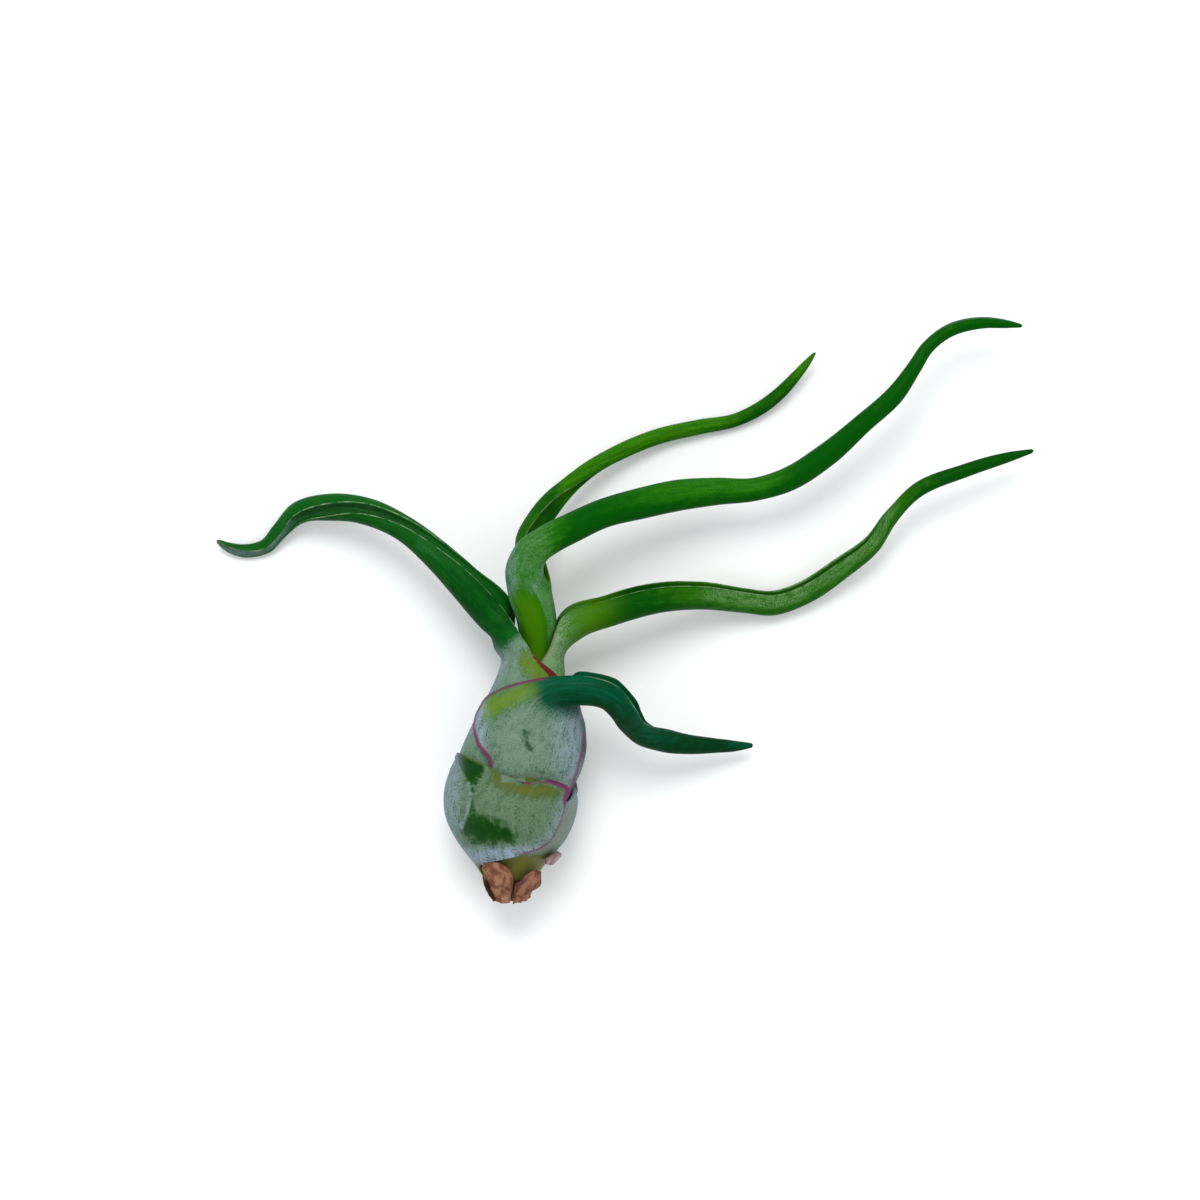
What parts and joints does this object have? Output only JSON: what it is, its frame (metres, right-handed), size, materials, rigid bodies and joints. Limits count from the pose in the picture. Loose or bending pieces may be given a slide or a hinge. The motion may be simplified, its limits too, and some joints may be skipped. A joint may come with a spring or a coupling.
{
  "type": "air plant",
  "caption": "Bulbous air plant lying on its side: onion-like sheaths wrap a short stem and end in long channelled leaves that wind to fine points.",
  "frame": {"origin": "centre of the small flat spot under the bulb on which the plant rests", "axes": "+Z up from the surface it lies on, +Y from the foot of the bulb towards the blades, +X to the right as seen from above with +Y up"},
  "size_m": [0.1315, 0.0935, 0.023],
  "materials": {
    "green_leaf": "satin green leaf, silvery with scurf on its sheath, purple along its margins",
    "silver_sheath": "satin green sheath under a bloom of fine silver scurf",
    "dry_scale": "matt dry brown scale"
  },
  "bodies": {
    "root": {"stem": "dry_scale", "scale_front": "dry_scale", "scale_front_right": "dry_scale", "scale_behind": "dry_scale", "scale_small": "dry_scale", "leaf_lower_right": "silver_sheath", "leaf_lower_left": "silver_sheath", "leaf_hooked": "green_leaf", "leaf_left": "green_leaf", "leaf_right": "green_leaf", "leaf_centre": "green_leaf", "leaf_rear": "green_leaf", "leaf_youngest": "green_leaf"}
  },
  "joints": []
}
